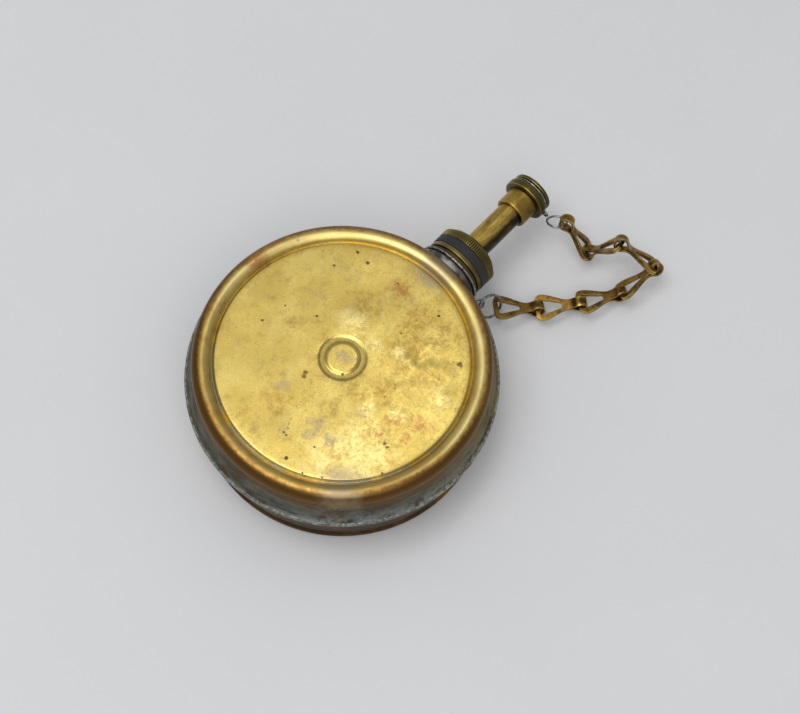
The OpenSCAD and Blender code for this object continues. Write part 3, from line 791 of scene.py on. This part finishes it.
def front_outline(sizes):
    """Front shell from the middle of its panel to its flange, and back inside."""
    top = reach("front_shell", "Z")
    seam = start("front_shell", "Z")
    flange = -start("front_shell", "X")
    panel = top - sizes.panel_drop
    bead_at = flange - sizes.front_bead_inset
    panel_edge = bead_at + sizes.bead * cos(radians(CREASE_ANGLE)) - sizes.crease
    floor = panel - sizes.groove_depth
    button = [
        (0, panel + sizes.button_height),
        (sizes.button - 2 * sizes.groove_depth, panel + sizes.button_height),
        (sizes.button + sizes.groove_depth / 2, floor),
        (sizes.button + sizes.groove - 2 * sizes.groove_depth, floor),
        (sizes.button + sizes.groove, panel),
        (sizes.button + 2 * sizes.groove, panel)]
    path = eased(button, 0.9 * MM, 6, closed=False)
    path += [(panel_edge - sizes.panel_step, panel), (panel_edge, panel - sizes.panel_step)]
    path += arc((bead_at, top - sizes.bead), sizes.bead, CREASE_ANGLE, -WALL_ANGLE, 20)
    path += [(flange - sizes.flange, seam + sizes.sheet), (flange, seam + sizes.sheet)]
    outer = stepped(eased(path, 0.35 * MM, 4, closed=False), 1.1 * MM)
    return outer + stepped(list(reversed(inside(path, sizes.sheet))), 2.2 * MM)


def back_outline(sizes):
    """Back shell from its flange to the middle of its panel, and back inside."""
    seam = reach("back_shell", "Z")
    flange = -start("back_shell", "X")
    bead_at = flange - sizes.back_bead_inset
    bead_z = sizes.bead - sizes.foot_wear
    worn = degrees(atan2(bead_z, leg(sizes.bead, bead_z)))
    panel_edge = bead_at + sizes.bead * cos(radians(CREASE_ANGLE)) - sizes.crease
    path = [(flange, seam - sizes.sheet), (flange - sizes.flange, seam - sizes.sheet)]
    path += arc((bead_at, bead_z), sizes.bead, WALL_ANGLE, -worn, 16)
    path += arc((bead_at, bead_z), sizes.bead, worn - 180, -CREASE_ANGLE, 8)
    path += [(panel_edge, sizes.panel_drop + sizes.panel_step), (panel_edge - sizes.panel_step, sizes.panel_drop),
             (0, sizes.panel_drop)]
    outer = stepped(eased(path, 0.3 * MM, 4, closed=False), 1.4 * MM)
    return list(reversed(outer)) + stepped(inside(path, sizes.sheet), 2.6 * MM)


# Dents and swells of the front panel: place, size of the soft brush and how far it moves, in millimetres
DENTS = [
    ((13.0, -15.6), 2.2, -0.16), ((15.8, -16.4), 2.0, -0.14), ((11.6, -13.2), 2.6, 0.12), ((14.6, -19.3), 2.6, 0.11),
    ((17.8, -13.6), 3.0, 0.08), ((8.0, -16.6), 3.0, -0.07), ((-3.4, -17.8), 3.6, 0.09), ((-6.6, -20.8), 3.0, -0.08),
    ((-1.6, -23.6), 3.0, 0.08), ((5.1, -22.6), 3.6, -0.09), ((10.8, -26.6), 3.6, 0.08), ((3.2, -17.6), 3.2, 0.07),
    ((9.0, 7.0), 7.0, 0.12), ((-16.0, -15.0), 13.0, 0.12), ((20.0, 8.0), 12.0, -0.14), ((-12.0, 20.0), 12.0, -0.12),
    ((0.0, -26.0), 7.0, -0.08), ((-4.0, -10.0), 6.0, 0.08), ((22.0, -12.0), 6.0, 0.06), ((-24.0, 4.0), 8.0, -0.08),
    ((18.6, -20.6), 2.6, -0.08), ((8.8, -21.0), 2.4, 0.07), ((0.6, -20.2), 2.4, -0.06), ((15.0, -23.6), 2.6, 0.07),
]


class OILBOTTLE_OT_shells(bpy.types.Operator):
    """Spins the two pressed shells, dents the panel and cuts the hole for the neck"""
    bl_idname = "oilbottle.shells"
    bl_label = "Pressed shells"

    def execute(self, context):
        sizes = context.scene.oil_shells
        ferrule = reach("neck_ferrule", "Y")
        hole_from = start("neck_ferrule", "X")
        front = spin("front_pressing", front_outline(sizes), sizes.steps)
        panel = reach("front_shell", "Z") - sizes.panel_drop
        for (x, y), size, depth in DENTS:
            push(front, (x * MM, y * MM, panel), size * MM, (0, 0, depth * MM))
        back = spin("back_pressing", back_outline(sizes), sizes.steps)
        for piece, node, slot in ((front, "front_shell", "yellow_brass"), (back, "back_shell", "brown_brass")):
            roughen(piece, 12 * MM, 0.06 * MM)
            carve(piece, ferrule, hole_from, reach("neck_bush", "X"))
            settle(piece)
            fit(piece, piece.name, node, slot, "flask")
        return {"FINISHED"}


class OILBOTTLE_OT_solder(bpy.types.Operator):
    """Runs the ragged line of solder round the seam, up to the neck on both sides"""
    bl_idname = "oilbottle.solder"
    bl_label = "Seam solder"

    def execute(self, context):
        sizes = context.scene.oil_shells
        edge = -start("seam_solder", "X")
        middle = start("front_shell", "Z")
        half = sizes.solder / 2
        outline = [(edge - 0.5 * MM + 0.42 * MM * cos(a), middle + half * sin(a))
                   for a in [tau * i / 14 for i in range(14)]]
        neck = 2 * atan2(0.94 * reach("neck_ferrule", "Y"), edge)
        piece = spin("solder_line", outline, 720, sweep=tau - neck)
        roughen(piece, 1.6 * MM, 0.16 * MM, 0.62)
        settle(piece, 60)
        fit(piece, piece.name, "seam_solder", "solder", "flask")
        return {"FINISHED"}


def turned_piece(name, outline, node, slot, body, ease=0.12):
    """A piece turned on the lathe along the spout: its corners eased, its edges marked."""
    sizes = bpy.context.scene.oil_spout
    piece = spin(name, stepped(eased(outline, ease * MM), 1.2 * MM, closed=True), sizes.steps, along_spout=True)
    mark_edges(piece)
    settle(piece)
    fit(piece, name, node, slot, body)
    return piece


class OILBOTTLE_OT_neck(bpy.types.Operator):
    """Turns the plated ferrule, the bush with its two beads, and the leather washer"""
    bl_idname = "oilbottle.neck"
    bl_label = "Neck"

    def execute(self, context):
        sizes = context.scene.oil_spout
        ferrule = reach("neck_ferrule", "Y")
        first = start("neck_ferrule", "X")
        last = reach("neck_ferrule", "X")
        shoulder = ferrule - sizes.wire_groove_radius
        outline = [(sizes.bush, first), (ferrule, first)]
        outline += arc((ferrule - shoulder, last - shoulder), shoulder, 0, 90, 8)
        outline += [(sizes.bush, last)]
        turned_piece("plated_ferrule", outline, "neck_ferrule", "plate", "flask")

        bead = reach("neck_bush", "Y")
        thin = last + sizes.wire_groove
        floor = bead - sizes.thin_bead
        mouth_bead = thin + sizes.thin_bead + sizes.bead_gap
        mouth = reach("neck_bush", "X")
        outline = [
            (sizes.bore, first), (sizes.bush, first), (sizes.bush, last), (sizes.wire_groove_radius, last),
            (sizes.wire_groove_radius, thin), (bead, thin), (bead, thin + sizes.thin_bead),
            (floor, thin + sizes.thin_bead), (floor, mouth_bead), (bead, mouth_bead), (bead, mouth),
            (sizes.bore, mouth)]
        turned_piece("turned_bush", outline, "neck_bush", "turned_brass", "flask", 0.2)

        rim = reach("washer", "Y")
        top = reach("washer", "X")
        outline = [(sizes.bore, mouth), (rim, mouth), (rim, top), (sizes.bore, top)]
        washer = turned_piece("leather_washer", outline, "washer", "old_leather", "washer", 0.35)
        roughen(washer, 2.2 * MM, 0.1 * MM, 0.9)
        return {"FINISHED"}


class OILBOTTLE_OT_spout(bpy.types.Operator):
    """Turns the spout's base, presses its knurls, and draws the tube"""
    bl_idname = "oilbottle.spout"
    bl_label = "Spout"

    def execute(self, context):
        sizes = context.scene.oil_spout
        tube = reach("spout_tube", "Y")
        bore = tube - sizes.wall
        rim = reach("spout_base", "Y")
        rim_x = reach("washer", "X")
        dome_x = rim_x + sizes.rim
        end_x = reach("spout_base", "X")
        stem_x = start("spout_base", "X")
        root = sizes.thread - sizes.pitch / 2
        turns = round((start("washer", "X") - stem_x) / sizes.pitch)
        outline = [(bore, stem_x)]
        for i in range(turns):
            outline += [(root, stem_x + i * sizes.pitch), (sizes.thread, stem_x + (i + 0.5) * sizes.pitch)]
        outline += [(root, start("washer", "X")), (root, rim_x), (rim, rim_x), (rim, dome_x)]
        neck = tube + 0.4 * MM
        dome = [(neck + (rim - 0.6 * MM - neck) * cos(a), dome_x + (end_x - dome_x) * sin(a))
                for a in [pi / 2 * i / 10 for i in range(11)]]
        outline += dome + [(tube, end_x), (tube, end_x - sizes.socket), (bore, end_x - sizes.socket)]
        outline = stepped(eased(outline, 0.1 * MM), 1.2 * MM, closed=True)
        piece = spin("turned_spout_base", outline, 4 * sizes.knurls, along_spout=True)
        select(piece)
        bpy.ops.object.mode_set(mode="EDIT")

        def in_a_groove(vertex):
            """Whether a vertex of the rim lies in one of the grooves between the knurls."""
            y, z = vertex.co.y, vertex.co.z - SPOUT_AXIS_Z
            knurl = atan2(z, y) / tau * sizes.knurls % 1
            return hypot(y, z) > rim - sizes.knurl and 0.3 < knurl < 0.7

        pick(piece, in_a_groove)
        kept = 1 - sizes.knurl / rim
        bpy.ops.transform.resize(value=(1, kept, kept), center_override=(0, 0, SPOUT_AXIS_Z))
        bpy.ops.object.mode_set(mode="OBJECT")
        mark_edges(piece)
        settle(piece)
        fit(piece, piece.name, "spout_base", "turned_brass", "spout")

        first = start("spout_tube", "X")
        last = reach("spout_tube", "X")
        outline = [(bore, first), (tube, first), (tube, last), (bore, last)]
        turned_piece("drawn_tube", outline, "spout_tube", "tube_brass", "spout", 0.2)
        return {"FINISHED"}


class OILBOTTLE_OT_cap(bpy.types.Operator):
    """Turns the cap with its grip flange, wire groove and end disc"""
    bl_idname = "oilbottle.cap"
    bl_label = "Cap"

    def execute(self, context):
        sizes = context.scene.oil_cap
        first = start("cap", "X")
        last = reach("cap", "X")
        grip = reach("cap", "Y")
        disc_x = last - sizes.disc_thickness
        groove_x = disc_x - sizes.groove
        grip_x = groove_x - sizes.grip
        inner_x = reach("cap_seal", "X")
        outline = [
            (sizes.bore, first), (sizes.sleeve, first), (sizes.sleeve, grip_x), (grip, grip_x), (grip, groove_x),
            (sizes.groove_radius, groove_x), (sizes.groove_radius, disc_x), (sizes.disc, disc_x),
            (sizes.disc, last), (0, last)]
        outline = [(0, inner_x), (sizes.bore, inner_x)] + outline
        outline = stepped(eased(outline, 0.4 * MM, 4, closed=False), 1.1 * MM)
        piece = spin("turned_cap", outline, bpy.context.scene.oil_spout.steps, along_spout=True)
        mark_edges(piece)
        settle(piece)
        fit(piece, piece.name, "cap", "olive_brass", "cap")
        dress(frame["nodes"]["cap_seal"], "tan_leather")
        return {"FINISHED"}


def wire(name, points, radius, closed=False):
    """Bends a round wire along points and makes it a mesh."""
    line = bpy.data.curves.new(name, "CURVE")
    line.dimensions = "3D"
    line.bevel_depth = radius
    line.bevel_resolution = 4
    line.use_fill_caps = not closed
    path = line.splines.new("POLY")
    path.points.add(len(points) - 1)
    for knot, point in zip(path.points, points):
        knot.co = (*point, 1)
    path.use_cyclic_u = closed
    piece = bpy.data.objects.new(name, line)
    bpy.context.scene.collection.objects.link(piece)
    select(piece)
    bpy.ops.object.convert(target="MESH")
    return bpy.context.object


def ring_points(centre, along, across, radius, steps, first=0.0, last=tau):
    """Points on a circle, from one angle to another, in the plane of two directions."""
    turns = [first + (last - first) * i / steps for i in range(steps + (last - first < tau))]
    return [centre + radius * (cos(a) * along + sin(a) * across) for a in turns]


class OILBOTTLE_OT_wires(bpy.types.Operator):
    """Bends the neck wire with its twisted eye, and finishes the other wires"""
    bl_idname = "oilbottle.wires"
    bl_label = "Wires and rings"

    def execute(self, context):
        sizes = context.scene.oil_chain
        ring = JOINTS["neck_ring"]
        eye = Vector(ring["pos_m"])
        hub = Vector(JOINTS["neck_wire"]["pos_m"])
        to_link = (Vector(JOINTS["link_1"]["pos_m"]) - eye).normalized()
        flat = Vector(ring["axis"]).normalized()
        outward = (eye - hub)
        outward.x = 0
        tail = hub + outward.normalized() * sizes.collar
        strand = 0.8 * sizes.wire
        stem = (eye - tail)
        stem_length = stem.length - sizes.eye
        stem.normalize()
        side = stem.orthogonal().normalized()
        other = stem.cross(side)
        loops = [wire("neck_wire_loop", ring_points(hub, Vector((0, 1, 0)), Vector((0, 0, 1)), sizes.collar, 120),
                      sizes.wire, True)]
        twists = 2.5
        for phase in (0, pi):
            helix = []
            for i in range(61):
                a = phase + tau * twists * i / 60
                spread = strand * (0.9 + 0.3 * max(0, i / 60 - 0.85) / 0.15)
                helix.append(tail + stem * (stem_length * i / 60) + spread * (cos(a) * side + sin(a) * other))
            loops.append(wire("strand", helix, strand))
        loops.append(wire("eye", ring_points(eye, to_link, flat, sizes.eye, 40), sizes.wire, True))
        deselect()
        for loop in loops:
            loop.select_set(True)
        bpy.context.view_layer.objects.active = loops[0]
        bpy.ops.object.join()
        settle(loops[0], 60)
        fit(loops[0], "neck_wire_loop", "neck_wire", "steel_wire", "neck_wire")
        for name in ("neck_ring", "cap_wire", "cap_ring"):
            dress(frame["nodes"][name], "steel_wire")
        return {"FINISHED"}


def link_path(sizes):
    """Middle of a link's sheet from the side: from one eye round the fold to the other."""
    middle = (sizes.sheet + sizes.gap) / 2
    fold = sizes.fold + sizes.sheet / 2
    throat = sizes.throat + sizes.sheet / 2
    drop = throat + middle
    throat_x = sizes.pitch - leg(throat + fold, drop)
    opening = degrees(atan2(drop, sizes.pitch - throat_x))
    layer = [(-sizes.start, middle)] + arc((throat_x, drop), throat, -90, -opening, 8)
    around = arc((sizes.pitch, 0), fold, 180 - opening, opening - 180, 32)
    return layer + around[1:-1] + [(x, -z) for x, z in reversed(layer)]


def link_stations(sizes, total):
    """Along the flat strip: distance, half width of the sheet and of the hole."""
    centre_x = sizes.corner - sizes.start
    centre_y = sizes.width / 2 - sizes.corner
    hole_start = sizes.bar - sizes.start
    hole_x = hole_start + sizes.hole_corner
    hole_wide = sizes.width / 2 - sizes.rim
    places = [centre_x - sizes.corner * cos(pi / 8 * i) for i in range(5)]
    places += [hole_x - sizes.hole_corner * cos(pi / 6 * i) for i in range(4)]
    places += [hole_x + (sizes.hole_tip - hole_x) * i / 10 for i in range(1, 11)]
    places += [sizes.hole_tip + (sizes.waist_at - sizes.hole_tip) * i / 5 for i in range(1, 6)]
    half = []
    for place in sorted(places):
        if place <= centre_x:
            edge = centre_y + leg(sizes.corner, place - centre_x)
        else:
            way = min(1, (place - centre_x) / (sizes.waist_at - centre_x))
            edge = sizes.width / 2 + (sizes.waist / 2 - sizes.width / 2) * way * way * (3 - 2 * way)
        hole = 0
        if hole_start - MERGE <= place <= hole_x:
            hole = hole_wide - sizes.hole_corner + leg(sizes.hole_corner, hole_x - place)
        elif hole_x < place <= sizes.hole_tip + MERGE:
            hole = hole_wide + (sizes.tip_width / 2 - hole_wide) * (place - hole_x) / (sizes.hole_tip - hole_x)
        half.append((place + sizes.start, edge, hole))
    last = half[-1][0]
    bend = [(last + (total - 2 * last) * i / 40, half[-1][1], 0) for i in range(1, 40)]
    return half + bend + [(total - along, edge, hole) for along, edge, hole in reversed(half)]


def make_link(sizes):
    """One link in its own place: a flat stamping, folded over a curve, thickened and tumbled."""
    path = link_path(sizes)
    total = sum(hypot(b[0] - a[0], b[1] - a[1]) for a, b in zip(path, path[1:]))
    stations = link_stations(sizes, total)
    columns = len(stations)
    deselect()
    bpy.ops.mesh.primitive_grid_add(x_subdivisions=columns - 1, y_subdivisions=3, size=2 * MM)
    link = bpy.context.object
    bpy.ops.object.mode_set(mode="EDIT")
    for column, (along, edge, hole) in enumerate(stations):
        grid_x = MM * (2 * column / (columns - 1) - 1)
        for rows, half_width in (((0, 3), edge), ((1, 2), hole or edge / 3)):
            pick(link, lambda vertex: vertex.index % columns == column and vertex.index // columns in rows)
            bpy.ops.transform.translate(value=(along - grid_x, 0, 0))
            now = MM if rows == (0, 3) else MM / 3
            bpy.ops.transform.resize(value=(1, half_width / now, 1), center_override=(0, 0, 0))
    open_columns = {i for i, station in enumerate(stations) if station[2]}

    def over_a_hole(face):
        """Whether a face lies between two stations of a hole, in the middle row."""
        places = [(vertex.index % columns, vertex.index // columns) for vertex in face.verts]
        return all(column in open_columns and row in (1, 2) for column, row in places)

    mesh = bmesh.from_edit_mesh(link.data)
    for face in mesh.faces:
        face.select = over_a_hole(face)
    bmesh.update_edit_mesh(link.data)
    bpy.ops.mesh.delete(type="ONLY_FACE")
    bpy.ops.mesh.select_all(action="SELECT")
    bpy.ops.mesh.delete_loose(use_verts=True, use_edges=True, use_faces=False)
    bpy.ops.mesh.select_all(action="SELECT")
    bpy.ops.transform.rotate(value=-pi / 2, orient_axis="X", center_override=(0, 0, 0))
    bpy.ops.object.mode_set(mode="OBJECT")

    line = bpy.data.curves.new("fold", "CURVE")
    line.dimensions = "2D"
    spline = line.splines.new("POLY")
    spline.points.add(len(path) - 1)
    for knot, point in zip(spline.points, path):
        knot.co = (*point, 0, 1)
    fold = bpy.data.objects.new("fold", line)
    bpy.context.scene.collection.objects.link(fold)
    apply(link, "CURVE", object=fold, deform_axis="POS_X")
    bpy.data.objects.remove(fold)
    apply(link, "SOLIDIFY", thickness=sizes.sheet, offset=0)
    apply(link, "BEVEL", width=sizes.edge, segments=3, limit_method="ANGLE", angle_limit=radians(50))
    select(link)
    bpy.ops.object.mode_set(mode="EDIT")
    bpy.ops.mesh.select_all(action="SELECT")
    bpy.ops.mesh.normals_make_consistent(inside=False)
    bpy.ops.transform.rotate(value=-pi / 2, orient_axis="X", center_override=(0, 0, 0))
    bpy.ops.object.mode_set(mode="OBJECT")
    mark_edges(link)
    return link


class OILBOTTLE_OT_chain(bpy.types.Operator):
    """Stamps and folds one link, and hangs seven copies between their pivots"""
    bl_idname = "oilbottle.chain"
    bl_label = "Chain"

    def execute(self, context):
        sizes = context.scene.oil_chain
        pattern = make_link(sizes)
        bodies = [f"link_{i}" for i in range(1, 8)]
        for body, following in zip(bodies, bodies[1:] + ["cap_ring"]):
            here = Vector(JOINTS[body]["pos_m"])
            ahead = (Vector(JOINTS[following]["pos_m"]) - here).normalized()
            across = Vector(JOINTS[body]["axis"]).normalized()
            up = ahead.cross(across)
            select(pattern)
            bpy.ops.object.duplicate()
            piece = bpy.context.object
            piece.matrix_world = Matrix.Translation(here) @ Matrix((ahead, across, up)).transposed().to_4x4()
            settle(piece)
            fit(piece, f"folded_{body}", body, "chain_brass", body)
        bpy.data.objects.remove(pattern)
        return {"FINISHED"}


class OILBOTTLE_OT_studio(bpy.types.Operator):
    """Lays the paper floor, hangs the lamps and sets the camera"""
    bl_idname = "oilbottle.studio"
    bl_label = "Studio"

    def execute(self, context):
        studio = context.scene.oil_studio
        deselect()
        bpy.ops.mesh.primitive_plane_add(size=6)
        floor = context.object
        floor.name = "paper_floor"
        paper = Finish("paper", 0.0)
        fleck = paper.rise(paper.noise(1.1, 2, 0.5), 0.74, 0.8)
        tone = paper.noise(60, 3, 0.5)
        base = paper.mix(tone * 0.12, paint("floor"), (1, 1, 1, 1))
        base = paper.mix(fleck * 0.25, base, paint("patina"))
        floor.data.materials.append(paper.finish(base, 0.9, paper.noise(1.5, 4), 0.04))

        world = bpy.data.worlds.new("even_light")
        world.use_nodes = True
        context.scene.world = world
        world.node_tree.nodes["Background"].inputs["Color"].default_value = (1, 1, 1, 1)
        world.node_tree.nodes["Background"].inputs["Strength"].default_value = studio.surround

        turn = Matrix.Rotation(studio.azimuth, 4, "Z")
        aim = Vector((studio.aim_x, studio.aim_y, 0))
        tilt = Matrix.Rotation(pi / 2 - studio.elevation, 4, "X")
        view = turn @ tilt @ Matrix.Rotation(studio.roll, 4, "Z")
        place = aim + view.to_3x3() @ Vector((0, 0, studio.distance))
        bpy.ops.object.camera_add(location=place, rotation=view.to_euler())
        camera = context.object
        camera.data.lens = studio.lens
        camera.data.sensor_width = 36
        camera.data.clip_start = 0.01
        context.scene.camera = camera

        for name, away, size, power in (("overhead", (-0.27, -0.1, 1.0), 0.55, studio.key),
                                        ("beyond", (-0.06, 0.36, 1.0), 0.4, studio.fill),
                                        ("near", (0.1, -0.6, 0.95), 0.7, studio.near),
                                        ("glow", (0.035, 0.338, 1.0), 0.08, studio.glow)):
            spot = aim + turn.to_3x3() @ Vector(away)
            bpy.ops.object.light_add(type="AREA", location=spot,
                                     rotation=(aim - spot).to_track_quat("-Z", "Y").to_euler())
            lamp = context.object
            lamp.name = name
            lamp.data.energy = power
            lamp.data.size = size
        context.scene.view_settings.view_transform = "Standard"
        return {"FINISHED"}


class OILBOTTLE_PT_panel(bpy.types.Panel):
    """Lists the steps and the sizes of the oil bottle"""
    bl_idname = "OILBOTTLE_PT_panel"
    bl_label = "Oil bottle"
    bl_space_type = "VIEW_3D"
    bl_region_type = "UI"
    bl_category = "Oil bottle"

    def draw(self, context):
        for operator in STEPS:
            self.layout.operator(operator.bl_idname)
        for group, kind in GROUPS.items():
            box = self.layout.box()
            for name in kind.__annotations__:
                box.prop(getattr(context.scene, group), name)


STEPS = (
    OILBOTTLE_OT_shells, OILBOTTLE_OT_solder, OILBOTTLE_OT_neck, OILBOTTLE_OT_spout, OILBOTTLE_OT_cap,
    OILBOTTLE_OT_wires, OILBOTTLE_OT_chain, OILBOTTLE_OT_studio,
)
CLASSES = (*GROUPS.values(), *STEPS, OILBOTTLE_PT_panel)


def register():
    for kind in CLASSES:
        bpy.utils.register_class(kind)
    for group, kind in GROUPS.items():
        setattr(bpy.types.Scene, group, PointerProperty(type=kind))


def unregister():
    for group in GROUPS:
        delattr(bpy.types.Scene, group)
    for kind in reversed(CLASSES):
        bpy.utils.unregister_class(kind)


def main():
    register()
    for operator in STEPS:
        group, name = operator.bl_idname.split(".")
        getattr(getattr(bpy.ops, group), name)()


if __name__ == "__main__":
    main()
